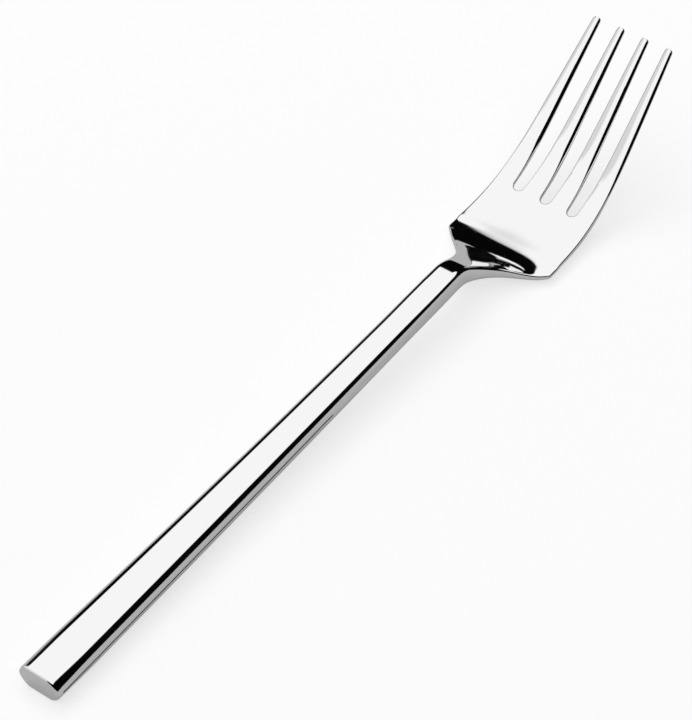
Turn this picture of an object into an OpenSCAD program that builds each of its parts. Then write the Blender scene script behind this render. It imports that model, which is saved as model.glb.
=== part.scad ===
// Table fork, four tines, polished stainless steel, with a hollow bar handle.
// It lies tines up: x across, y from butt to tips, z up, resting on the bowl and the butt.

/* [Handle] */
// Length of the handle, from the butt face to the joint with the neck
handle_l = 124; // [90:1:150]
// Width of the handle at the butt
butt_w = 10.7; // [8:0.1:13]
// Thickness of the handle at the butt
butt_t = 6.1; // [5.4:0.1:8]
// Width of the handle at the neck joint
neck_w = 6.2; // [5.6:0.1:8]
// Thickness of the handle at the neck joint
neck_t = 5; // [4.6:0.1:7]
// Height of the handle's top above the table at the neck joint
neck_top = 10.3; // [9:0.1:14]
// How far the handle's line bows down at mid length
handle_bow = 0.5; // [0:0.1:1.5]
// How far the handle's sides draw in at mid length
handle_waist = 0.25; // [0:0.05:0.8]
// Radius of the handle's long edges at the butt
butt_edge_r = 2.65; // [1.4:0.05:2.65]
// Radius of the handle's long edges at the neck joint
neck_edge_r = 1.35; // [1.2:0.05:2.2]

/* [Handle pieces] */
// Sheet thickness of the two pressed handle shells
shell_wall = 0.8; // [0.5:0.1:1]
// Thickness of the butt cap's end plate
cap_t = 1.4; // [0.8:0.1:3]
// Length of the butt cap's spigot inside the shells
cap_spigot_l = 3; // [2:0.5:6]
// Radius of the edge round the butt face
cap_edge = 0.7; // [0.1:0.05:0.75]
// Length of the tang inside the handle
tang_l = 62; // [30:1:80]
// Width of the tang
tang_w = 3; // [2:0.1:3.4]
// Thickness of the tang
tang_t = 2; // [1.2:0.1:2.4]
// Length of cement beyond the end of the tang
cement_past = 6; // [3:1:10]
// Gap left between the cement and the metal round it
cement_gap = 0.05; // [0.02:0.01:0.1]

/* [Neck and shoulders] */
// Length from the neck joint to the shoulder corners
neck_l = 22.2; // [21:0.1:30]
// Length over which the neck drops into the bowl
drop_l = 19.8; // [16:0.1:22]
// Length of the rounding at each end of the drop, which is straight between
drop_round = 3; // [2:0.1:6]
// How far past the shoulder line the drop ends
drop_past = 2; // [1:0.1:4]
// How much sooner the drop ends at the shoulder corners
drop_lead = 4; // [0:0.5:8]
// How far the middle of the drop stands above its edges
neck_crown = 0.4; // [0:0.1:1]
// How far the shoulder corners lie below the rim of the bowl
shoulder_droop = 0.2; // [0:0.05:0.5]
// Radius of the hollow between neck and shoulder
neck_fillet = 12.2; // [8:0.1:13]
// Slope of the shoulder line, measured from the fork's axis
shoulder_angle = 48.5; // [45:0.5:57]
// Radius of the shoulder corners
shoulder_r = 1.1; // [0.8:0.1:2]

/* [Bowl and tines] */
// Length of bowl and tines in plan, from the shoulder corners to the tips
head_l = 48.8; // [44:0.1:60]
// Width across the shoulders
shoulder_w = 27.3; // [24:0.1:30]
// Depth of the bowl between its two edges
dish_depth = 1.1; // [0.4:0.1:2.4]
// How far past the shoulder line the bowl starts to deepen
dish_from = 2.5; // [0:0.5:4]
// Length over which the bowl deepens
dish_l = 20; // [12:1:24]
// Thickness of the bowl on its centre line
blade_t = 2.5; // [1.8:0.1:3]
// Thickness at the edges of the shoulders
shoulder_edge_t = 1; // [0.8:0.1:1.6]
// Thickness at the outer edges, at the slot roots
blade_edge_t = 1.5; // [1.3:0.1:2]
// Radius of the outer edges of the bowl
blade_edge_r = 0.5; // [0.3:0.05:0.6]
// Width of the bevel along the upper edges of the tines
tine_bevel = 0.56; // [0.2:0.02:0.7]
// Thickness of the tines at their tips
tip_t = 1.2; // [0.8:0.1:1.4]
// Slope of the tines above the table
tine_angle = 37.8; // [20:0.1:42]
// Length in plan over which the bowl bends up into the tines
bend_l = 32.7; // [26:0.1:40]
// Length of the slots in plan, from root to tips
slot_l = 33.3; // [26:0.1:38]
// Width of a slot at its root
slot_w = 2.7; // [2:0.1:3.2]
// Spacing of the slots at their roots
root_pitch = 7.15; // [6.8:0.05:7.5]
// Spacing of the tine tips
tip_pitch = 6.3; // [5.6:0.1:6.8]
// Width of a tine at its tip
tip_w = 1.9; // [1.5:0.1:2.2]
// Corner radius of a tine tip seen from above
tip_r = 0.6; // [0.2:0.05:0.7]

/* [Hidden] */
tine_count = 4;
side_bow = 1.4;
lead_power = 6;
droop_past = 0.8;
droop_fade = 2;
dish_left_at_tips = 0.15;
edge_share = 0.48;
bevel_run = 10;
bevel_part = 0.22;
bevel_from = 30;
bevel_to = 65;
under_share = 0.75;
corner_steps = 4;
wall_steps = 3;
tine_steps = 3;
arc_steps = 6;
handle_rows = 20;
joint_y = handle_l;
shoulder_y = joint_y + neck_l;
fork_l = shoulder_y + head_l;
drop_end_y = shoulder_y + drop_past;
drop_y = drop_end_y - drop_l;
root_y = fork_l - slot_l;
half_shoulder = shoulder_w / 2;
half_tips = ((tine_count - 1) * tip_pitch + tip_w) / 2;
tang_y = joint_y - tang_l;
cement_y = tang_y - cement_past;
fill_inset = shell_wall + cement_gap;
tang_r = tang_t / 3;
steel = [0.80, 0.81, 0.82];
cement_grey = [0.62, 0.58, 0.50];

// Plan of the shoulder: hollow arc, straight slope, rounded corner
corner_start_x = half_shoulder - shoulder_r * (1 - cos(shoulder_angle));
corner_start_y = shoulder_y - shoulder_r * sin(shoulder_angle);
neck_half = handle_w(corner_start_y - neck_fillet) / 2;
fillet_end_x = neck_half + neck_fillet * (1 - cos(shoulder_angle));
fillet_end_y = corner_start_y - (corner_start_x - fillet_end_x) / tan(shoulder_angle);
fillet_y = fillet_end_y - neck_fillet * sin(shoulder_angle);

function mix(a, b, q) = a + (b - a) * q;
function limit(q) = min(max(q, 0), 1);
function ease(q) = limit(q) * limit(q) * (3 - 2 * limit(q));
function reversed(list) = [for (k = [len(list) - 1:-1:0]) list[k]];
function rows(from, to, count) = [for (i = [0:count]) mix(from, to, i / count)];
function later(list) = [for (k = [1:len(list) - 1]) list[k]];

// Sizes of the handle bar at y, measured from the butt
function bulge(y) = 4 * y / handle_l * (1 - y / handle_l);
function handle_w(y) = mix(butt_w, neck_w, y / handle_l) - handle_waist * bulge(y);
function handle_t(y) = mix(butt_t, neck_t, y / handle_l);
function handle_top(y) = mix(butt_t, neck_top, y / handle_l) - handle_bow * bulge(y);
function handle_edge_r(y) = mix(butt_edge_r, neck_edge_r, limit(y / handle_l));
function handle_mid(y) = handle_top(y) - handle_t(y) / 2;

// Plan: half width of neck, shoulders and tines, rounded in at the tips
function tip_inset(y) = let (d = max(y - fork_l + tip_r, 0)) tip_r - sqrt(max(tip_r * tip_r - d * d, 0));
function half_w(y) =
    y < fillet_y ? mix(handle_w(joint_y) / 2, neck_half, limit((y - joint_y) / (fillet_y - joint_y)))
    : y < fillet_end_y ? neck_half + neck_fillet - sqrt(pow(neck_fillet, 2) - pow(y - fillet_y, 2))
    : y < corner_start_y ? fillet_end_x + (y - fillet_end_y) * tan(shoulder_angle)
    : y < shoulder_y ? half_shoulder - shoulder_r + sqrt(pow(shoulder_r, 2) - pow(shoulder_y - y, 2))
    : mix(half_shoulder, half_tips, pow((y - shoulder_y) / head_l, side_bow)) - tip_inset(y);

// Plan: centre line and half width of slot k; behind its round root the line follows the outline
function slot_q(y) = limit((y - root_y - slot_w / 2) / (slot_l - slot_w / 2));
function pitch(y) = y < root_y ? root_pitch * reach(y) / reach(root_y)
    : mix(root_pitch, tip_pitch, slot_q(y));
function slot_x(k, y) = (k - (tine_count - 2) / 2) * pitch(y);
function slot_half(y) = let (d = root_y + slot_w / 2 - y)
    d > slot_w / 2 ? 0
    : d > 0 ? sqrt(slot_w * slot_w / 4 - d * d)
    : mix(slot_w, tip_pitch - tip_w, slot_q(y)) / 2 + tip_inset(y);

// Plan: width of a tine
function tine_w(y) = mix(root_pitch - slot_w, tip_w, slot_q(y)) - 2 * tip_inset(y);

// Side view: the neck drops into the bowl, and the bowl bends up into the tines
function drop(y) = let (q = limit((y - drop_y) / drop_l), r = drop_round / drop_l)
    q < r ? q * q / (2 * r * (1 - r))
    : q > 1 - r ? 1 - (1 - q) * (1 - q) / (2 * r * (1 - r))
    : (q - r / 2) / (1 - r);
function lead(x) = drop_lead * pow(x / half_shoulder, lead_power);
function bend(y) = (y - shoulder_y) / bend_l;
function rise_curve(u) = pow(limit(u), 3) - pow(limit(u), 4) / 2 + max(u - 1, 0);
function rise(y) = tan(tine_angle) * bend_l * rise_curve(bend(y));
function tilt(y) = atan(tan(tine_angle) * ease(bend(y)));
function head_top(x, y) = mix(handle_top(min(y, drop_y)), blade_top + rise(y), drop(y + lead(x)));
function crown(y) = neck_crown * 4 * drop(y) * (1 - drop(y));
function droop(y) = shoulder_droop * drop(y) * (1 - ease((y - shoulder_y - droop_past) / droop_fade));
function dish(y) = dish_depth * ease((y - shoulder_y - dish_from) / dish_l)
    * mix(1, dish_left_at_tips, ease((y - shoulder_y) / head_l));
function to_tips(root, y) = mix(root, tip_t, limit((y - shoulder_y) / head_l));
function centre_t(y) = mix(handle_t(y), to_tips(blade_t, y), drop(y));
function rim_t(y) = mix(shoulder_edge_t, blade_edge_t, ease((y - shoulder_y) / (root_y - shoulder_y)));
function side_t(y) = mix(handle_t(y), to_tips(rim_t(y), y), drop(y));
function underside(y) = rise(y) - (to_tips(blade_t, y) + dish(y)) * cos(tilt(y));
blade_top = -min([for (y = rows(drop_end_y, root_y, 4 * arc_steps)) underside(y)]);

// Long edges: round on neck and bowl, turning into a bevel along the tines
function full_edge_r(y) = min(mix(handle_edge_r(y), blade_edge_r, drop(y)), edge_share * side_t(y));
function bevel_q(y) = ease((y - root_y) / bevel_run);
function bevel_w(y) = min(tine_bevel, bevel_part * tine_w(y));
function wall_bevel(y) = bevel_w(y) * bevel_q(y);
function head_edge_r(y) = mix(full_edge_r(y), bevel_w(y), bevel_q(y));
function edge_in(u, q) = mix(1 - sin(90 * u), 1 - u, q);
function bevel_depth(u) = tan(bevel_from) * u + (tan(bevel_to) - tan(bevel_from)) * u * u / 2;
function edge_down(u, q) = mix(1 - cos(90 * u), bevel_depth(u), q);
function under_r(y) = let (r = head_edge_r(y))
    min(r, under_share * (side_t(y) - r * edge_down(1, bevel_q(y))));
function reach(y) = half_w(y) - head_edge_r(y);

// One rounded corner of a section, as points round its centre
function corner(cx, cz, r, from) =
    [for (k = [0:corner_steps]) let (a = from + 90 * k / corner_steps) [cx + r * cos(a), cz + r * sin(a)]];

// Rounded bar section at y, its middle at mid, going round from the lower right corner
function bar_ring(y, w, t, r, mid) = [
    for (p = concat(
        corner(w / 2 - r, r - t / 2, r, 270),
        corner(w / 2 - r, t / 2 - r, r, 0),
        corner(r - w / 2, t / 2 - r, r, 90),
        corner(r - w / 2, r - t / 2, r, 180)
    )) [p[0], y, mid + p[1]]
];
function handle_ring(y, inset) =
    bar_ring(y, handle_w(y) - 2 * inset, handle_t(y) - 2 * inset, handle_edge_r(y) - inset, handle_mid(y));
function tang_ring(y, gap) =
    bar_ring(y, tang_w + 2 * gap, tang_t + 2 * gap, tang_r, handle_mid(y));

// Upper half of the handle's section, or the lower half with side -1: outer line, then inner line back
function half_line(y, inset, side) = let (
    w = handle_w(y) / 2 - inset,
    t = handle_t(y) / 2 - inset,
    r = handle_edge_r(y) - inset
) [
    for (p = concat([[w, 0]], corner(w - r, t - r, r, 0), corner(r - w, t - r, r, 90), [[-w, 0]]))
    [side * p[0], y, handle_mid(y) + side * p[1]]
];
function half_ring(y, side) = concat(half_line(y, 0, side), reversed(half_line(y, shell_wall, side)));

// Solid through a row of rings with equal numbers of points, its ends closed in strips
module loft(rings) {
    n = len(rings[0]);
    end = (len(rings) - 1) * n;
    polyhedron(
        points = [for (ring = rings) each ring],
        faces = concat(
            [for (i = [0:len(rings) - 2], j = [0:n - 1]) let (a = i * n + j, b = i * n + (j + 1) % n)
                [a, b, b + n, a + n]],
            [for (j = [0:n / 2 - 2]) [n - 1 - j, n - 2 - j, j + 1, j]],
            [for (j = [0:n / 2 - 2]) [end + j, end + j + 1, end + n - 2 - j, end + n - 1 - j]]
        )
    );
}

// Points of one cross row of the head: top and bottom of every tine's strip, the two rounded sides,
// then the bevels on the slot walls
across = tine_steps + 1;
side_count = 2 * corner_steps;
face_count = tine_count * across;
wall_count = 2 * (tine_count - 1) * wall_steps;
row_count = 2 * face_count + 2 * side_count + wall_count;
function strip_x(k, j, y, edge) = mix(
    k == 0 ? -reach(y) : slot_x(k - 1, y) + slot_half(y) + edge,
    k == tine_count - 1 ? reach(y) : slot_x(k, y) - slot_half(y) - edge,
    j / tine_steps
);
function strips_x(y, edge) = [for (k = [0:tine_count - 1], j = [0:tine_steps]) strip_x(k, j, y, edge)];
function side_line(w, t, r, under, q) = concat(
    [for (k = [1:corner_steps]) let (u = k / corner_steps) [w - r * edge_in(u, q), -r * edge_down(u, q)]],
    [for (k = [0:corner_steps - 1]) let (a = -90 * k / corner_steps)
        [w - under + under * cos(a), under - t + under * sin(a)]]
);
function wall_line(y) = [
    for (k = [0:tine_count - 2], side = [-1, 1], n = [1:wall_steps])
    let (u = n / wall_steps)
    [slot_x(k, y) + side * (slot_half(y) + wall_bevel(y) * edge_in(u, 1)), -wall_bevel(y) * edge_down(u, 1)]
];
function row_plan(top_xs, low_xs, side, t, walls) = concat(
    [for (x = top_xs) [x, 0]],
    [for (x = low_xs) [x, -t]],
    side,
    [for (p = side) [-p[0], p[1]]],
    walls
);
function head_row(y) = let (
    w = half_w(y),
    t = side_t(y),
    a = tilt(y),
    side = side_line(w, t, head_edge_r(y), under_r(y), bevel_q(y))
) [
    for (p = row_plan(strips_x(y, wall_bevel(y)), strips_x(y, 0), side, t, wall_line(y)))
    let (
        inward = 1 - pow(p[0] / w, 2),
        outward = 1 - inward,
        lower = outward * crown(y) + outward * outward * droop(y),
        h = p[1] + inward * (p[1] / t * (centre_t(y) - t) - dish(y)) - lower
    )
    [p[0], y - h * sin(a), head_top(p[0], y) + h * cos(a)]
];
function tang_row(y) = let (
    flat = tang_w / 2 - tang_r,
    share = 2 * flat / tine_count,
    xs = [for (k = [0:tine_count - 1], j = [0:tine_steps]) share * (k + j / tine_steps) - flat],
    side = side_line(tang_w / 2, tang_t, tang_r, tang_r, 0),
    no_walls = [for (n = [1:wall_count]) [0, 0]]
) [for (p = row_plan(xs, xs, side, tang_t, no_walls)) [p[0], y, handle_mid(y) + tang_t / 2 + p[1]]];

// Rows along the head, closer together where its plan turns
head_ys = concat(
    rows(joint_y, fillet_y, arc_steps),
    [for (i = [1:arc_steps + 2]) fillet_y + neck_fillet * sin(shoulder_angle * i / (arc_steps + 2))],
    later(rows(fillet_end_y, corner_start_y, arc_steps - 2)),
    [for (i = [1:arc_steps]) shoulder_y - shoulder_r * sin(shoulder_angle * (1 - i / arc_steps))],
    later(rows(shoulder_y, root_y, 2 * arc_steps))
);
tine_ys = concat(
    [for (i = [1:arc_steps]) root_y + slot_w / 2 * (1 - cos(90 * i / arc_steps))],
    later(rows(root_y + slot_w / 2, fork_l - tip_r, 2 * arc_steps)),
    [for (i = [1:arc_steps - 2]) fork_l - tip_r * (1 - sin(90 * i / (arc_steps - 2)))]
);
tang_ys = rows(tang_y, joint_y, arc_steps);
root_row = len(tang_ys) + len(head_ys) - 1;
last_row = root_row + len(tine_ys);

// Number of a point: side 0 is the top and 1 the bottom; strips share their edges up to the slot roots
function at(i, side, k, j) = i <= root_row && k > 0 && j == 0 ? at(i, side, k - 1, tine_steps)
    : i * row_count + side * face_count + k * across + j;
function right_chain(i) = concat(
    at(i, 0, tine_count - 1, tine_steps),
    [for (s = [0:side_count - 1]) i * row_count + 2 * face_count + s],
    at(i, 1, tine_count - 1, tine_steps)
);
function left_chain(i) = concat(
    at(i, 0, 0, 0),
    [for (s = [0:side_count - 1]) i * row_count + 2 * face_count + side_count + s],
    at(i, 1, 0, 0)
);
// Slot wall from top to bottom: side 0 ends tine k, side 1 starts the next; the root has no bevel
function wall_chain(i, k, side) = let (
    top = at(i, 0, k + side, tine_steps * (1 - side)),
    first = i * row_count + 2 * face_count + 2 * side_count + (2 * k + side) * wall_steps
) concat(
    top,
    [for (n = [0:wall_steps - 1]) i == root_row ? top : first + n],
    at(i, 1, k + side, tine_steps * (1 - side))
);
// Faces between two chains, three-sided where one chain has a point twice
function strip(a, b) = [for (s = [0:len(a) - 2])
    a[s] == a[s + 1] ? [a[s], b[s], b[s + 1]]
    : b[s] == b[s + 1] ? [a[s], b[s], a[s + 1]]
    : [a[s], b[s], b[s + 1], a[s + 1]]];
// End of one tine's strip in row i, with the rounded sides that it has there
function strip_end(i, k) = concat(
    [for (j = [0:tine_steps - 1]) [at(i, 0, k, j), at(i, 0, k, j + 1), at(i, 1, k, j + 1), at(i, 1, k, j)]],
    k == 0 ? [reversed(left_chain(i))] : i > root_row ? [reversed(wall_chain(i, k - 1, 1))] : [],
    k == tine_count - 1 ? [right_chain(i)] : i > root_row ? [wall_chain(i, k, 0)] : []
);
head_faces = concat(
    [for (i = [0:last_row - 1], k = [0:tine_count - 1], j = [0:tine_steps - 1])
        [at(i, 0, k, j), at(i + 1, 0, k, j), at(i + 1, 0, k, j + 1), at(i, 0, k, j + 1)]],
    [for (i = [0:last_row - 1], k = [0:tine_count - 1], j = [0:tine_steps - 1])
        [at(i, 1, k, j), at(i, 1, k, j + 1), at(i + 1, 1, k, j + 1), at(i + 1, 1, k, j)]],
    [for (i = [0:last_row - 1]) each strip(right_chain(i), right_chain(i + 1))],
    [for (i = [0:last_row - 1]) each strip(left_chain(i + 1), left_chain(i))],
    [for (i = [root_row:last_row - 1], k = [0:tine_count - 2])
        each strip(wall_chain(i, k, 0), wall_chain(i + 1, k, 0))],
    [for (i = [root_row:last_row - 1], k = [0:tine_count - 2])
        each strip(wall_chain(i + 1, k, 1), wall_chain(i, k, 1))],
    [for (k = [0:tine_count - 1]) each strip_end(0, k)],
    [for (k = [0:tine_count - 1], face = strip_end(last_row, k)) reversed(face)]
);

// The lower edges of the tips reach a little past the upper ones
tip_y = max([for (p = head_row(fork_l)) p[1]]);

module placed() {
    translate([0, -tip_y / 2, 0])
        children();
}

// Tines, bowl, shoulders and neck, forged in one with the tang that runs back into the handle
module fork_head() {
    color(steel) placed()
        polyhedron(
            points = concat(
                [for (y = tang_ys) each tang_row(y)],
                [for (y = concat(head_ys, tine_ys)) each head_row(y)]
            ),
            faces = head_faces
        );
}

// Pressed half shell of the handle, seen from above
module handle_front_shell() {
    color(steel) placed()
        loft([for (y = rows(cap_t, joint_y, handle_rows)) half_ring(y, 1)]);
}

// Pressed half shell of the handle, on the table side
module handle_back_shell() {
    color(steel) placed()
        loft([for (y = rows(cap_t, joint_y, handle_rows)) half_ring(y, -1)]);
}

// Flat end plate with a spigot that fits inside the two shells
module butt_cap() {
    color(steel) placed()
        loft(concat(
            [for (k = [0:corner_steps]) let (a = 90 * k / corner_steps)
                handle_ring(cap_edge * (1 - cos(a)), cap_edge * (1 - sin(a)))],
            [
                handle_ring(cap_t, 0),
                handle_ring(cap_t, fill_inset),
                handle_ring(cap_t + cap_spigot_l, fill_inset)
            ]
        ));
}

// Cement that beds the tang in the hollow handle, a cup round the tang
module tang_cement() {
    front_y = joint_y - cement_gap;
    color(cement_grey) placed()
        loft(concat(
            [for (y = rows(cement_y, front_y, handle_rows / 2)) handle_ring(y, fill_inset)],
            [for (y = rows(front_y, tang_y - cement_gap, handle_rows / 2)) tang_ring(y, cement_gap)]
        ));
}

fork_head();
handle_front_shell();
handle_back_shell();
butt_cap();
tang_cement();
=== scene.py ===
import math

import bmesh
import bpy
from mathutils import Matrix, Vector


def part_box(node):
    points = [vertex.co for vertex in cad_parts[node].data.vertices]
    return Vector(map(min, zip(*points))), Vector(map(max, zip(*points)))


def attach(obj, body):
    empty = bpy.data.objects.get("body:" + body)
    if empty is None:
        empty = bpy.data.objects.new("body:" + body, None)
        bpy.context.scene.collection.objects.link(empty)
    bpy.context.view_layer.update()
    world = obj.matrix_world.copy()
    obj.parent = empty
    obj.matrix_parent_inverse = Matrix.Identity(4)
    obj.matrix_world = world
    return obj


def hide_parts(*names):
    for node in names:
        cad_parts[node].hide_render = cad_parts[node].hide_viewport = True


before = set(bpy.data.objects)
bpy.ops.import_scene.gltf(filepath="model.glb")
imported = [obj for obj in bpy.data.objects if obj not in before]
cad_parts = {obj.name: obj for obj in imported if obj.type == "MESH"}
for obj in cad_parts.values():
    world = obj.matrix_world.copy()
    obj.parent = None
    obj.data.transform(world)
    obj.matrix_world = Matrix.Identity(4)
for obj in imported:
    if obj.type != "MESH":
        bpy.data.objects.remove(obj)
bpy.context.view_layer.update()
scene = bpy.context.scene
metre = 1000  # in mm, the unit of most sizes here
mm = 1 / metre  # in metres, Blender's unit
quarter = 90  # degrees in a quarter turn
mixFirst, mixSecond, mixOut = 6, 7, 2  # colour sockets of a Mix node
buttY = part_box("butt_cap")[0].y


def toLinear(hexColour):
    def channel(pair):
        c = int(pair, 16) / 255
        return c / 12.92 if c <= 0.04045 else ((c + 0.055) / 1.055) ** 2.4
    return [channel(hexColour[i:i + 2]) for i in (0, 2, 4)] + [1.0]


def addNode(tree, kind, settings=None, links=None):
    node = tree.nodes.new(kind)
    for key, value in (settings or {}).items():  # attributes, or values of sockets
        if isinstance(key, str) and hasattr(node, key):
            setattr(node, key, value)
        else:
            node.inputs[key].default_value = value
    for key, output in (links or {}).items():  # sockets and the outputs that feed them
        tree.links.new(output, node.inputs[key])
    return node


def newMaterial(name):
    material = bpy.data.materials.new(name)
    material.use_nodes = True
    material.node_tree.nodes.clear()
    return material, material.node_tree


def mix(a, b, q):
    return a + (b - a) * q


def limit(q):
    return min(max(q, 0.0), 1.0)


def ease(q):
    q = limit(q)
    return q * q * (3 - 2 * q)


def arch(q):  # 0 at both ends, 1 in the middle
    return 4 * q * (1 - q)


def sweep(start, end, count):  # count equal steps after start
    return [mix(start, end, i / count) for i in range(1, count + 1)]


def quarterSteps(count):  # degrees after 0, up to a quarter turn
    return [quarter * k / count for k in range(1, count + 1)]


def toFrame(x, y, z):  # millimetres, y from the butt
    return (x * mm, buttY + y * mm, z * mm)


# Stainless steel, buffed to a mirror: sharp reflections,
# with faint buffing lines and soft hazy patches
steelLook = {
    "colour": "F5F5F6",
    "roughLow": 0.025,
    "roughHigh": 0.075,
    "patternRange": (0.1, 0.45),  # of haze times lines, from the low roughness to the high
    "hazePatch": 9.0,  # mm across
    "hazeDetail": 3.0,
    "buffLine": 0.35,  # mm between lines, coarser than the real ones so that they show
    "buffLength": 14.0,  # mm along the fork
    "buffDetail": 2.0,
    "buffDepth": 0.0006,  # mm
}


def polishedSteel():
    material, tree = newMaterial("stainless_steel_mirror_polished")
    place = addNode(tree, "ShaderNodeTexCoord").outputs["Object"]
    perMetre = {key: metre / steelLook[key] for key in ("hazePatch", "buffLine", "buffLength")}
    haze = addNode(
        tree, "ShaderNodeTexNoise",
        {"Scale": perMetre["hazePatch"], "Detail": steelLook["hazeDetail"]},
        {"Vector": place},
    )
    lineScale = (perMetre["buffLine"], perMetre["buffLength"], perMetre["buffLine"])
    stretched = addNode(tree, "ShaderNodeMapping", {"Scale": lineScale}, {"Vector": place})
    lines = addNode(
        tree, "ShaderNodeTexNoise",
        {"Scale": 1.0, "Detail": steelLook["buffDetail"]},
        {"Vector": stretched.outputs[0]},
    )
    both = addNode(
        tree, "ShaderNodeMath", {"operation": "MULTIPLY"},
        {0: haze.outputs[0], 1: lines.outputs[0]},
    )
    low, high = steelLook["patternRange"]
    rough = addNode(
        tree, "ShaderNodeMapRange",
        {
            "From Min": low, "From Max": high,
            "To Min": steelLook["roughLow"], "To Max": steelLook["roughHigh"],
        },
        {"Value": both.outputs[0]},
    )
    bump = addNode(
        tree, "ShaderNodeBump",
        {"Strength": 1.0, "Distance": steelLook["buffDepth"] * mm},
        {"Height": lines.outputs[0]},
    )
    shader = addNode(
        tree, "ShaderNodeBsdfPrincipled",
        {"Base Color": toLinear(steelLook["colour"]), "Metallic": 1.0},
        {"Roughness": rough.outputs[0], "Normal": bump.outputs[0]},
    )
    addNode(tree, "ShaderNodeOutputMaterial", None, {"Surface": shader.outputs[0]})
    return material


# Handle cement, poured and set: matt, grainy and slightly mottled
cementLook = {
    "pale": "C9BFA8",
    "dark": "A79B82",
    "grain": 0.4,  # mm
    "rough": 0.85,
}


def setCement():
    material, tree = newMaterial("handle_cement_poured")
    place = addNode(tree, "ShaderNodeTexCoord").outputs["Object"]
    grain = addNode(
        tree, "ShaderNodeTexNoise", {"Scale": metre / cementLook["grain"]}, {"Vector": place},
    )
    pale, dark = (toLinear(cementLook[key]) for key in ("pale", "dark"))
    colour = addNode(
        tree, "ShaderNodeMix",
        {"data_type": "RGBA", mixFirst: pale, mixSecond: dark},
        {0: grain.outputs[0]},
    )
    shader = addNode(
        tree, "ShaderNodeBsdfPrincipled", {"Roughness": cementLook["rough"]},
        {"Base Color": colour.outputs[mixOut]},
    )
    addNode(tree, "ShaderNodeOutputMaterial", None, {"Surface": shader.outputs[0]})
    return material


steel = polishedSteel()
cement = setCement()
print("materials made:", steel.name, cement.name)

sharpAngle = 20  # degrees, an edge that turns more stays crisp


def makePiece(name, points, faces, node):  # points in millimetres
    mesh = bpy.data.meshes.new(name)
    mesh.from_pydata([toFrame(*p) for p in points], [], faces)
    work = bmesh.new()
    work.from_mesh(mesh)
    bmesh.ops.recalc_face_normals(work, faces=work.faces)
    work.to_mesh(mesh)
    work.free()
    mesh.shade_smooth()
    mesh.set_sharp_from_angle(angle=math.radians(sharpAngle))
    mesh.materials.append(steel)
    piece = bpy.data.objects.new(name, mesh)
    scene.collection.objects.link(piece)
    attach(piece, "root")
    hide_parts(node)
    print(name, "made with", len(faces), "faces")


# Bar handle: tapering, a little bowed, with long rounded edges; sizes in mm
handle = {
    "length": (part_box("handle_front_shell")[1].y - buttY) / mm,
    "buttWidth": 10.7,
    "buttThick": 6.1,
    "neckWidth": 6.2,
    "neckThick": 5.0,
    "neckTop": 10.3,  # above the floor
    "bow": 0.5,  # the middle lies lower
    "waist": 0.25,  # and is narrower
    "buttEdge": 2.65,  # width of the long edges
    "neckEdge": 1.35,
    "wall": 0.8,
    "rows": 80,
    "bevel": 0.3,  # share of a bevel in the round long edges
    "buttBevel": 0.6,
    "buttRun": 11.0,  # the edges flatten over this length to the butt
    "neckRun": 15.0,  # and turn round over this length to the neck
    "bevelSlopes": (25.0, 60.0),  # degrees, at a bevel's upper and lower edge
    "lip": 0.4,  # width of the flat strips beside the edges
    "seamDepth": 0.13,  # soldered seam between the shells, a fine groove
    "seamHalf": 0.17,
    "seamFade": 60.0,  # polished away over this length to the neck
    "cornerSteps": 16,
}

# Flat end plate, with a spigot inside the shells; sizes in mm
buttCap = {
    "thick": 1.4,
    "spigot": 3.0,
    "spigotGap": 0.05,
    "edge": 0.7,  # radius round the end face
    "edgeSteps": 10,
}


def bulge(y):
    return arch(y / handle["length"])


def handleWidth(y):
    tapered = mix(handle["buttWidth"], handle["neckWidth"], y / handle["length"])
    return tapered - handle["waist"] * bulge(y)


def handleThick(y):
    return mix(handle["buttThick"], handle["neckThick"], y / handle["length"])


def handleTop(y):
    straight = mix(handle["buttThick"], handle["neckTop"], y / handle["length"])
    return straight - handle["bow"] * bulge(y)


def handleMid(y):
    return handleTop(y) - handleThick(y) / 2


def handleEdge(y):
    return mix(handle["buttEdge"], handle["neckEdge"], limit(y / handle["length"]))


# Depth of a long edge, and its distance in, at share u: round where q is 0, a bevel where it is 1
def edgeDown(u, q, slopes):
    start, end = (math.tan(math.radians(a)) for a in slopes)
    return mix(1 - math.cos(math.pi / 2 * u), start * u + (end - start) * u * u / 2, q)


def edgeIn(u, q):
    return mix(1 - math.sin(math.pi / 2 * u), 1 - u, q)


def seamDepth(y):
    return handle["seamDepth"] * ease((handle["length"] - y) / handle["seamFade"])


def halfLine(y, inset, side, seam=0.0):  # half of the section: upper, or lower with side -1
    w = handleWidth(y) / 2 - inset
    t = handleThick(y) / 2 - inset
    r = handleEdge(y) - inset
    q = mix(handle["bevel"], handle["buttBevel"], ease(1 - y / handle["buttRun"]))
    q *= ease((handle["length"] - y) / handle["neckRun"])
    steps = handle["cornerSteps"]
    shares = [1 - k / steps for k in range(steps + 1)]
    slopes = handle["bevelSlopes"]
    corner = [(w - r * edgeIn(u, q), t - r * edgeDown(u, q, slopes)) for u in shares]
    half = [(w - seam, 0), (w, handle["seamHalf"])] + corner + [(w - r - handle["lip"], t)]
    line = half + [(-x, z) for x, z in half[::-1]]
    return [(side * x, y, handleMid(y) + side * z) for x, z in line]


def wholeRing(y, inset):
    return halfLine(y, inset, 1)[:-1] + halfLine(y, inset, -1)[:-1]


def loftFaces(count, n):  # sides between rings of n points
    return [
        (i * n + j, i * n + (j + 1) % n, (i + 1) * n + (j + 1) % n, (i + 1) * n + j)
        for i in range(count - 1) for j in range(n)
    ]


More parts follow.
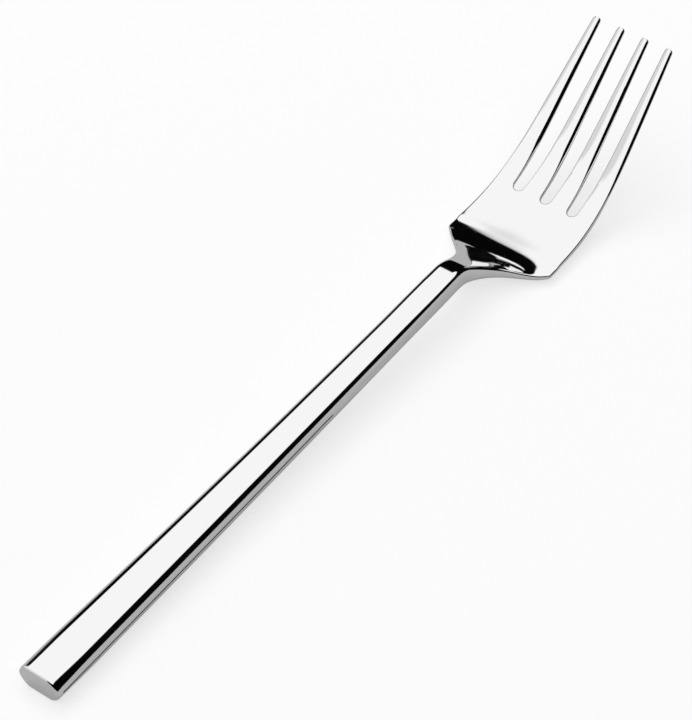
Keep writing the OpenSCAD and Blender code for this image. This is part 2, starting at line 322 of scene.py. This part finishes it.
def makeShell(name, node, side):
    start = buttCap["thick"]
    rings = [
        halfLine(y, 0, side, seamDepth(y)) + halfLine(y, handle["wall"], side)[::-1]
        for y in [start] + sweep(start, handle["length"], handle["rows"])
    ]
    n = len(rings[0])
    faces = loftFaces(len(rings), n)
    for base in (0, (len(rings) - 1) * n):  # the two ends, from outer to inner line
        far = base + n - 1
        faces += [(base + j, base + j + 1, far - j - 1, far - j) for j in range(n // 2 - 1)]
    makePiece(name, [p for ring in rings for p in ring], faces, node)


def makeButtCap():
    edge = buttCap["edge"]
    rounded = [math.radians(a) for a in [0] + quarterSteps(buttCap["edgeSteps"])]
    stations = [(edge * (1 - math.cos(a)), edge * (1 - math.sin(a))) for a in rounded]
    inner = handle["wall"] + buttCap["spigotGap"]
    end = buttCap["thick"]
    stations += [(end, 0), (end, inner), (end + buttCap["spigot"], inner)]
    rings = [wholeRing(y, inset) for y, inset in stations]
    n = len(rings[0])
    last = (len(rings) - 1) * n
    faces = loftFaces(len(rings), n) + [tuple(range(n)), tuple(range(last, last + n))]
    points = [p for ring in rings for p in ring]
    makePiece("ButtCap", points, faces, "butt_cap")


makeShell("HandleFrontShell", "handle_front_shell", 1)
makeShell("HandleBackShell", "handle_back_shell", -1)
makeButtCap()

# Neck, bowl and tines; sizes in mm, lengths in plan
head = {
    "tines": 4,
    "neckLength": 22.2,
    "dropLength": 19.2,
    "dropRounds": (4.5, 6.0),  # rounded lengths at the handle's and the bowl's end
    "dropPast": 1.2,  # the drop ends past the shoulder line
    "dropLead": 5.0,  # it ends this much sooner at the shoulder corners
    "leadPower": 6,  # of the share of the half width
    "shoulderDroop": 0.3,  # the corners lie below the bowl's rim
    "droopPast": 1.5,  # past the shoulder line
    "droopFade": 2.0,  # ends over this length
    "neckCrown": 0.25,  # the drop's middle stands above its edges
    "hollow": 12.2,
    "shoulderAngle": 48.5,  # degrees from the fork's axis
    "shoulderRound": 1.1,
    "length": 48.8,
    "width": (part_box("fork_head")[1].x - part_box("fork_head")[0].x) / mm,
    "dish": 1.1,
    "dishFrom": 2.5,  # past the shoulder line
    "dishLength": 20.0,  # deepens over this length
    "dishAtTips": 0.15,  # share of the dish
    "thick": 2.5,
    "edgeThick": 1.5,  # from the slot roots on
    "shoulderThick": 1.0,  # at the edge of the shoulders
    "edge": 0.5,
    "tipThick": 1.2,
    "tineAngle": 37.8,  # degrees
    "bendLength": 32.7,
    "slotLength": 33.9,
    "slotWidth": 2.7,
    "rootPitch": 7.15,
    "tipPitch": 6.3,
    "tipWidth": 1.9,
    "tipRound": 0.6,
    "sideBow": 1.4,
    "slotEdge": 0.25,  # radius round the slot roots
    "bevel": 0.56,  # width of the bevel along the tines
    "bevelPart": 0.22,  # of the tine's width, at most
    "bevelSlopes": (30.0, 52.0),  # degrees, at its upper and lower edge
    "bevelRun": 10.0,  # the round edge turns into the bevel over this length
    "underShare": 0.9,  # rounding below the slots, of the height left there
    "underPart": 0.4,  # of the tine's width, at most
    "underBack": 4.0,  # the underside's rows move back over this length
    "tineCrown": 0.09,  # the tines' middles stand above their edges
    "crownShare": 0.5,  # of the tines' length, over which they rise
    "edgeShare": 0.45,  # of the thickness, at most
    "tangLength": 62.0,
    "tangWidth": 3.0,
    "tangThick": 2.0,
    "tangEdge": 1 / 3,  # radius, as a share of its thickness
    "tangRows": 6,
    "cornerSteps": 8,
    "shoulderSteps": 10,
    "rootSteps": 10,
    "tipSteps": 6,
    "restSteps": 24,  # places where the lowest point of the bowl is looked for
    "columns": 8,
    "rowStep": 0.4,
}
jointY = handle["length"]
shoulderY = jointY + head["neckLength"]
forkLength = shoulderY + head["length"]
dropEndY = shoulderY + head["dropPast"]
dropY = dropEndY - head["dropLength"]
rootY = forkLength - head["slotLength"]
rootRadius = head["slotWidth"] / 2
halfShoulder = head["width"] / 2
halfTips = ((head["tines"] - 1) * head["tipPitch"] + head["tipWidth"]) / 2
slope = math.radians(head["shoulderAngle"])
tineRise = math.tan(math.radians(head["tineAngle"]))

# Plan of the shoulder: hollow arc, straight slope, rounded corner
cornerX = halfShoulder - head["shoulderRound"] * (1 - math.cos(slope))
cornerY = shoulderY - head["shoulderRound"] * math.sin(slope)
neckHalf = handleWidth(cornerY - head["hollow"]) / 2
hollowEndX = neckHalf + head["hollow"] * (1 - math.cos(slope))
hollowEndY = cornerY - (cornerX - hollowEndX) / math.tan(slope)
hollowY = hollowEndY - head["hollow"] * math.sin(slope)


def headShare(y):
    return (y - shoulderY) / head["length"]


def tipInset(y):
    d = max(y - forkLength + head["tipRound"], 0.0)
    return head["tipRound"] - math.sqrt(max(head["tipRound"] ** 2 - d * d, 0.0))


def halfWidth(y):
    if y < hollowY:
        return mix(handleWidth(jointY) / 2, neckHalf, limit((y - jointY) / (hollowY - jointY)))
    if y < hollowEndY:
        return neckHalf + head["hollow"] - math.sqrt(head["hollow"] ** 2 - (y - hollowY) ** 2)
    if y < cornerY:
        return hollowEndX + (y - hollowEndY) * math.tan(slope)
    if y < shoulderY:
        r = head["shoulderRound"]
        return halfShoulder - r + math.sqrt(r * r - (shoulderY - y) ** 2)
    return mix(halfShoulder, halfTips, headShare(y) ** head["sideBow"]) - tipInset(y)


def drop(y):  # 0 at the handle's level, 1 at the bowl's
    first, last = head["dropRounds"]
    done = limit((y - dropY) / head["dropLength"]) * head["dropLength"]
    left = head["dropLength"] - done
    straight = head["dropLength"] - (first + last) / 2
    if done < first:
        return done ** 2 / (2 * first * straight)
    if left < last:
        return 1 - left ** 2 / (2 * last * straight)
    return (done - first / 2) / straight


def bend(y):
    return (y - shoulderY) / head["bendLength"]


def rise(y):
    u = limit(bend(y))
    return tineRise * head["bendLength"] * (u ** 3 - u ** 4 / 2 + max(bend(y) - 1, 0.0))


def tilt(y):
    return math.atan(tineRise * ease(bend(y)))


def edgeTop(x, y):
    lead = head["dropLead"] * (x / halfShoulder) ** head["leadPower"]
    return mix(handleTop(min(y, dropY)), bladeTop + rise(y), drop(y + lead))


def dish(y):
    deepened = ease((y - shoulderY - head["dishFrom"]) / head["dishLength"])
    return head["dish"] * deepened * mix(1, head["dishAtTips"], ease(headShare(y)))


def crown(y):
    return head["neckCrown"] * arch(drop(y))


def droop(y):
    past = y - shoulderY - head["droopPast"]
    return head["shoulderDroop"] * drop(y) * (1 - ease(past / head["droopFade"]))


def thickness(y, blade):
    toTips = mix(blade, head["tipThick"], limit(headShare(y)))
    return mix(handleThick(y), toTips, drop(y))


def sideThick(y):
    toRoots = ease((y - shoulderY) / (rootY - shoulderY))
    return thickness(y, mix(head["shoulderThick"], head["edgeThick"], toRoots))


def underside(y):  # height of the bowl's underside, from the rim where the bowl starts
    return rise(y) - (thickness(y, head["thick"]) + dish(y)) * math.cos(tilt(y))


restPlaces = [dropEndY] + sweep(dropEndY, rootY, head["restSteps"])
bladeTop = -min(underside(y) for y in restPlaces)  # the bowl rests on the floor


def tineShare(y):
    return limit((y - rootY - rootRadius) / (head["slotLength"] - rootRadius))


def tineWidth(y):
    rootWidth = head["rootPitch"] - head["slotWidth"]
    return mix(rootWidth, head["tipWidth"], tineShare(y)) - 2 * tipInset(y)


def bevelShare(y):
    return ease((y - rootY - rootRadius) / head["bevelRun"])


def slotEdge(y):
    wide = mix(head["slotEdge"], head["bevel"], bevelShare(y))
    return min(wide, head["bevelPart"] * tineWidth(y))


def slotUnder(y):
    left = sideThick(y) - slotEdge(y) * edgeDown(1, bevelShare(y), head["bevelSlopes"])
    return min(head["underShare"] * left, head["underPart"] * tineWidth(y))


def outerEdge(y):
    r = min(mix(handleEdge(y), head["edge"], drop(y)), head["edgeShare"] * sideThick(y))
    return mix(r, slotEdge(y), bevelShare(y))


def outerUnder(y):
    return mix(outerEdge(y), slotUnder(y), bevelShare(y))


def reach(y):
    return halfWidth(y) - outerEdge(y)


def slotCentre(k, y):
    pitch = mix(head["rootPitch"], head["tipPitch"], tineShare(y))
    if y < rootY:
        pitch = head["rootPitch"] * reach(y) / reach(rootY)
    return (k - (head["tines"] - 2) / 2) * pitch


def slotHalf(y):
    tipGap = head["tipPitch"] - head["tipWidth"]
    return mix(head["slotWidth"], tipGap, tineShare(y)) / 2 + tipInset(y)


# Points of an edge from top to bottom: (distance in from the side, height)
def edgeLine(depth, r, under, q):
    slopes = head["bevelSlopes"]
    shares = [k / head["cornerSteps"] for k in range(head["cornerSteps"] + 1)]
    upper = [(r * edgeIn(u, q), -r * edgeDown(u, q, slopes)) for u in shares]
    lower = [(under * edgeIn(u, 0), under * edgeDown(u, 0, slopes) - depth) for u in shares]
    return upper + lower[::-1]


def onHead(x, y, h):  # h up from the rim, square to the bend
    t = sideThick(y)
    inward = 1 - (x / halfWidth(y)) ** 2
    fuller = max(-h / t, 0.0) ** 2 * (thickness(y, head["thick"]) - t)  # thicker in the middle
    h -= inward * (fuller + dish(y))
    h -= (1 - inward) * crown(y) + (1 - inward) ** 2 * droop(y)
    a = tilt(y)
    return (x, y - h * math.sin(a), edgeTop(x, y) + h * math.cos(a))


def onTang(x, y, h):
    return (x, y, handleMid(y) + head["tangThick"] / 2 + h)


def headRows():  # (y, turn round the slot's root in degrees), turn 0 until the roots
    def even(start, end):
        return sweep(start, end, max(2, round((end - start) / head["rowStep"])))
    plain = [jointY]
    for start, end in ((jointY, hollowY), (hollowY, hollowEndY), (hollowEndY, cornerY)):
        plain += even(start, end)
    r, count = head["shoulderRound"], head["shoulderSteps"]
    plain += [shoulderY - r * math.sin(slope * (1 - k / count)) for k in range(1, count + 1)]
    plain += even(shoulderY, rootY - head["slotEdge"])
    found = [(y, 0) for y in plain]
    outer = rootRadius + head["slotEdge"]
    for a in quarterSteps(head["rootSteps"]):
        found.append((rootY + rootRadius - outer * math.cos(math.radians(a)), a))
    tip = head["tipRound"]
    found += [(y, quarter) for y in even(rootY + rootRadius, forkLength - tip)]
    for a in quarterSteps(head["tipSteps"]):
        found.append((forkLength - tip * (1 - math.sin(math.radians(a))), quarter))
    return found


def makeHead():
    points, faces = [], []
    tines, m = head["tines"], head["columns"]

    def add(point):
        points.append(point)
        return len(points) - 1

    def addSides(row, y, half, line, onSurface):  # the outer edges, from top to bottom
        for name, k, j, side in (("left", 0, 0, -1), ("right", -1, -1, 1)):
            edge = [add(onSurface(side * (half - s), y, h)) for s, h in line[1:-1]]
            row[name] = [row["top"][k][j]] + edge + [row["bottom"][k][j]]

    # A row behind the slot roots, with its underside at low
    def sharedRow(y, low, spread, depth, half, r, onSurface):
        xs = [mix(a, b, j / m) for a, b in zip(spread, spread[1:]) for j in range(m)]
        xs.append(spread[-1])
        row = {}
        for face, place, h in (("top", y, 0), ("bottom", low, -depth)):
            line = [add(onSurface(x, place, h)) for x in xs]
            row[face] = [line[k * m:k * m + m + 1] for k in range(tines)]
        addSides(row, y, half, edgeLine(depth, r, r, 0), onSurface)
        return row

    def slotPlace(y, turn, inset):  # half width and y, this far back from the slot's wall
        if turn == quarter:
            return slotHalf(y) + inset, y
        a, r = math.radians(turn), rootRadius + inset
        return r * math.sin(a), rootY + rootRadius - r * math.cos(a)

    def slotChain(row, k, y, turn, side):  # one wall of slot k, from top to bottom
        tine, j = (k, m) if side < 0 else (k + 1, 0)
        edge = []
        line = edgeLine(sideThick(y), slotEdge(y), slotUnder(y), bevelShare(y))
        for s, h in line[1:-1]:
            half, place = slotPlace(y, turn, s)
            edge.append(add(onHead(slotCentre(k, max(y, rootY)) + side * half, place, h)))
        return [row["top"][tine][j]] + edge + [row["bottom"][tine][j]]

    def tineRow(y, turn):
        row = {"top": [], "bottom": []}
        raised = head["tineCrown"] * ease(tineShare(y) / head["crownShare"])
        middles = [slotCentre(k, max(y, rootY)) for k in range(tines - 1)]
        for face, h, up, inset, outer in (
            ("top", 0, raised, slotEdge(y), outerEdge(y)),
            ("bottom", -sideThick(y), 0, slotUnder(y), outerUnder(y)),
        ):
            half, place = slotPlace(y, turn, inset)
            starts = [outer - halfWidth(y)] + [x + half for x in middles]
            ends = [x - half for x in middles] + [halfWidth(y) - outer]
            for start, end in zip(starts, ends):
                line = [(mix(start, end, j / m), h + up * arch(j / m)) for j in range(m + 1)]
                row[face].append([add(onHead(x, place, level)) for x, level in line])
        line = edgeLine(sideThick(y), outerEdge(y), outerUnder(y), bevelShare(y))
        addSides(row, y, halfWidth(y), line, onHead)
        row["walls"] = [
            [slotChain(row, k, y, turn, side) for side in (-1, 1)] for k in range(tines - 1)
        ]
        return row

    tang = head["tangWidth"] / 2
    tangEdge = head["tangThick"] * head["tangEdge"]
    flat = tang - tangEdge
    tangSpread = [mix(-flat, flat, k / tines) for k in range(tines + 1)]
    tangY = jointY - head["tangLength"]
    rows = [
        sharedRow(y, y, tangSpread, head["tangThick"], tang, tangEdge, onTang)
        for y in [tangY] + sweep(tangY, jointY, head["tangRows"])
    ]
    places = headRows()
    backY = rootY - head["underBack"]
    squeeze = (head["underBack"] - slotUnder(rootY)) / (head["underBack"] - head["slotEdge"])
    for y, turn in places:
        if turn:
            rows.append(tineRow(y, turn))
            continue
        spread = [-reach(y)] + [slotCentre(k, y) for k in range(tines - 1)] + [reach(y)]
        low = min(y, backY) + max(y - backY, 0.0) * squeeze
        rows.append(sharedRow(y, low, spread, sideThick(y), halfWidth(y), outerEdge(y), onHead))
    turned = sum(1 for y, turn in places if turn)
    root = rows[-turned - 1]  # the last row before the slots, where their walls start
    rootPlace = max(y for y, turn in places if not turn)
    root["walls"] = [[slotChain(root, k, rootPlace, 0, -1)] * 2 for k in range(tines - 1)]

    for a, b in zip(rows, rows[1:]):
        for k in range(tines):
            for face in ("top", "bottom"):
                p, q = a[face][k], b[face][k]
                faces.extend((p[j], p[j + 1], q[j + 1], q[j]) for j in range(m))
        strips = [(a[name], b[name]) for name in ("left", "right")]
        if "walls" in a:
            for wallsA, wallsB in zip(a["walls"], b["walls"]):
                strips += zip(wallsA, wallsB)
        for p, q in strips:
            faces.extend((p[s], p[s + 1], q[s + 1], q[s]) for s in range(len(p) - 1))
    first, last = rows[0], rows[-1]
    across = [first["top"][0][0]] + [i for line in first["top"] for i in line[1:]]
    under = [first["bottom"][0][0]] + [i for line in first["bottom"] for i in line[1:]]
    faces.append(across + first["right"][1:-1] + under[::-1] + first["left"][-2:0:-1])
    for k in range(tines):
        left = last["left"] if k == 0 else last["walls"][k - 1][1]
        right = last["right"] if k == tines - 1 else last["walls"][k][0]
        faces.append(last["top"][k] + right[1:-1] + last["bottom"][k][::-1] + left[-2:0:-1])
    makePiece("ForkHead", points, faces, "fork_head")


makeHead()
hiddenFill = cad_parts["tang_cement"]
hiddenFill.data.materials.clear()
hiddenFill.data.materials.append(cement)
print("pieces made")

# Studio: a pale floor, a white ceiling of light that comes down at the near left,
# and a dark surround
studio = {
    "floorColour": "A8A8A8",
    "floorGlow": 0.68,  # lifts the floor for the eye, the shadow stays
    "floorGlowInSteel": 0.17,  # the same, as the steel mirrors it
    "floorSize": 6.0,  # metres
    "ceiling": "FFFFFF",
    "surround": "060606",
    "nearLeft": "DEDEDE",
    "ceilingFrom": 42.0,  # degrees above the horizon
    "ceilingFull": 46.0,
    "nearLeftTurn": -150.0,  # degrees from +X
    "nearLeftWidth": 55.0,  # degrees to each side
    "nearLeftFull": 0.8,  # share of the way in where it is brightest
    "lampSize": 0.8,  # metres
    "lampPlace": (-0.75, 0.5, 1.1),
    "lampPower": 4.0,  # watts
}


def makeFloor():
    size = studio["floorSize"] / 2
    mesh = bpy.data.meshes.new("Floor")
    corners = [(-size, -size, 0), (size, -size, 0), (size, size, 0), (-size, size, 0)]
    mesh.from_pydata(corners, [], [(0, 1, 2, 3)])
    material, tree = newMaterial("pale_paper_sweep")
    path = addNode(tree, "ShaderNodeLightPath")
    mirrored = addNode(
        tree, "ShaderNodeMath", {"operation": "ADD", "use_clamp": True},
        {0: path.outputs["Is Glossy Ray"], 1: path.outputs["Is Transmission Ray"]},
    )
    inSteel = addNode(
        tree, "ShaderNodeMath", {"operation": "MULTIPLY", 1: studio["floorGlowInSteel"]},
        {0: mirrored.outputs[0]},
    )
    glow = addNode(
        tree, "ShaderNodeMath", {"operation": "MULTIPLY_ADD", 1: studio["floorGlow"]},
        {0: path.outputs["Is Camera Ray"], 2: inSteel.outputs[0]},
    )
    paper = addNode(tree, "ShaderNodeBsdfDiffuse", {"Color": toLinear(studio["floorColour"])})
    lift = addNode(tree, "ShaderNodeEmission", None, {"Strength": glow.outputs[0]})
    both = addNode(tree, "ShaderNodeAddShader", None, {0: paper.outputs[0], 1: lift.outputs[0]})
    addNode(tree, "ShaderNodeOutputMaterial", None, {"Surface": both.outputs[0]})
    mesh.materials.append(material)
    floor = bpy.data.objects.new("Floor", mesh)
    scene.collection.objects.link(floor)


def makeLight():
    world = bpy.data.worlds.new("studio")
    scene.world = world
    world.use_nodes = True
    tree = world.node_tree
    tree.nodes.clear()
    place = addNode(tree, "ShaderNodeTexCoord").outputs["Generated"]
    height = addNode(tree, "ShaderNodeSeparateXYZ", None, {0: place}).outputs["Z"]
    heights = [math.sin(math.radians(studio[key])) for key in ("ceilingFrom", "ceilingFull")]
    overhead = addNode(
        tree, "ShaderNodeMapRange",
        {"interpolation_type": "SMOOTHSTEP", "From Min": heights[0], "From Max": heights[1]},
        {"Value": height},
    )
    flat = addNode(
        tree, "ShaderNodeVectorMath", {"operation": "MULTIPLY", 1: (1, 1, 0)}, {0: place},
    )
    level = addNode(tree, "ShaderNodeVectorMath", {"operation": "NORMALIZE"}, {0: flat.outputs[0]})
    turn = math.radians(studio["nearLeftTurn"])
    along = addNode(
        tree, "ShaderNodeVectorMath",
        {"operation": "DOT_PRODUCT", 1: (math.cos(turn), math.sin(turn), 0)},
        {0: level.outputs[0]},
    )
    edge = math.cos(math.radians(studio["nearLeftWidth"]))
    full = mix(edge, 1, studio["nearLeftFull"])
    side = addNode(
        tree, "ShaderNodeMapRange",
        {"interpolation_type": "SMOOTHSTEP", "From Min": edge, "From Max": full},
        {"Value": along.outputs["Value"]},
    )
    dark, bright, white = (toLinear(studio[key]) for key in ("surround", "nearLeft", "ceiling"))
    surround = addNode(
        tree, "ShaderNodeMix",
        {"data_type": "RGBA", mixFirst: dark, mixSecond: bright},
        {0: side.outputs[0]},
    )
    colour = addNode(
        tree, "ShaderNodeMix",
        {"data_type": "RGBA", mixSecond: white},
        {0: overhead.outputs[0], mixFirst: surround.outputs[mixOut]},
    )
    light = addNode(
        tree, "ShaderNodeBackground", {"Strength": 1.0}, {"Color": colour.outputs[mixOut]},
    )
    addNode(tree, "ShaderNodeOutputWorld", None, {"Surface": light.outputs[0]})
    lamp = bpy.data.objects.new("Softbox", bpy.data.lights.new("Softbox", "AREA"))
    lamp.data.size = studio["lampSize"]
    lamp.data.energy = studio["lampPower"]
    lamp.location = studio["lampPlace"]
    lamp.rotation_euler = (-Vector(studio["lampPlace"])).to_track_quat("-Z", "Y").to_euler()
    lamp.visible_glossy = False
    scene.collection.objects.link(lamp)


makeFloor()
makeLight()
print("studio made")

# Camera at the photograph's angle, from the butt's side of the fork
view = {
    "azimuth": 43.579,  # degrees, 0 looks along +Y
    "elevation": 45.783,
    "roll": -6.329,
    "aim": (-2.47, 97.753, 8.0),  # mm, y from the butt
    "distance": 738.85,  # mm
    "lens": 180.2,
    "sensor": 36.0,
    "clipStart": 0.01,  # metres
}


def makeCamera():
    a, e, roll = (math.radians(view[key]) for key in ("azimuth", "elevation", "roll"))
    forward = Vector((-math.sin(a) * math.cos(e), math.cos(a) * math.cos(e), -math.sin(e)))
    level = Vector((math.cos(a), math.sin(a), 0))
    upright = level.cross(forward)
    right = level * math.cos(roll) + upright * math.sin(roll)
    up = right.cross(forward)
    camera = bpy.data.objects.new("Camera", bpy.data.cameras.new("Camera"))
    camera.data.lens = view["lens"]
    camera.data.sensor_width = view["sensor"]
    camera.data.clip_start = view["clipStart"]
    place = Vector(toFrame(*view["aim"])) - forward * view["distance"] * mm
    turned = Matrix((right, up, -forward)).transposed().to_4x4()
    camera.matrix_world = Matrix.Translation(place) @ turned
    scene.collection.objects.link(camera)
    scene.camera = camera


makeCamera()
scene.view_settings.view_transform = "Standard"
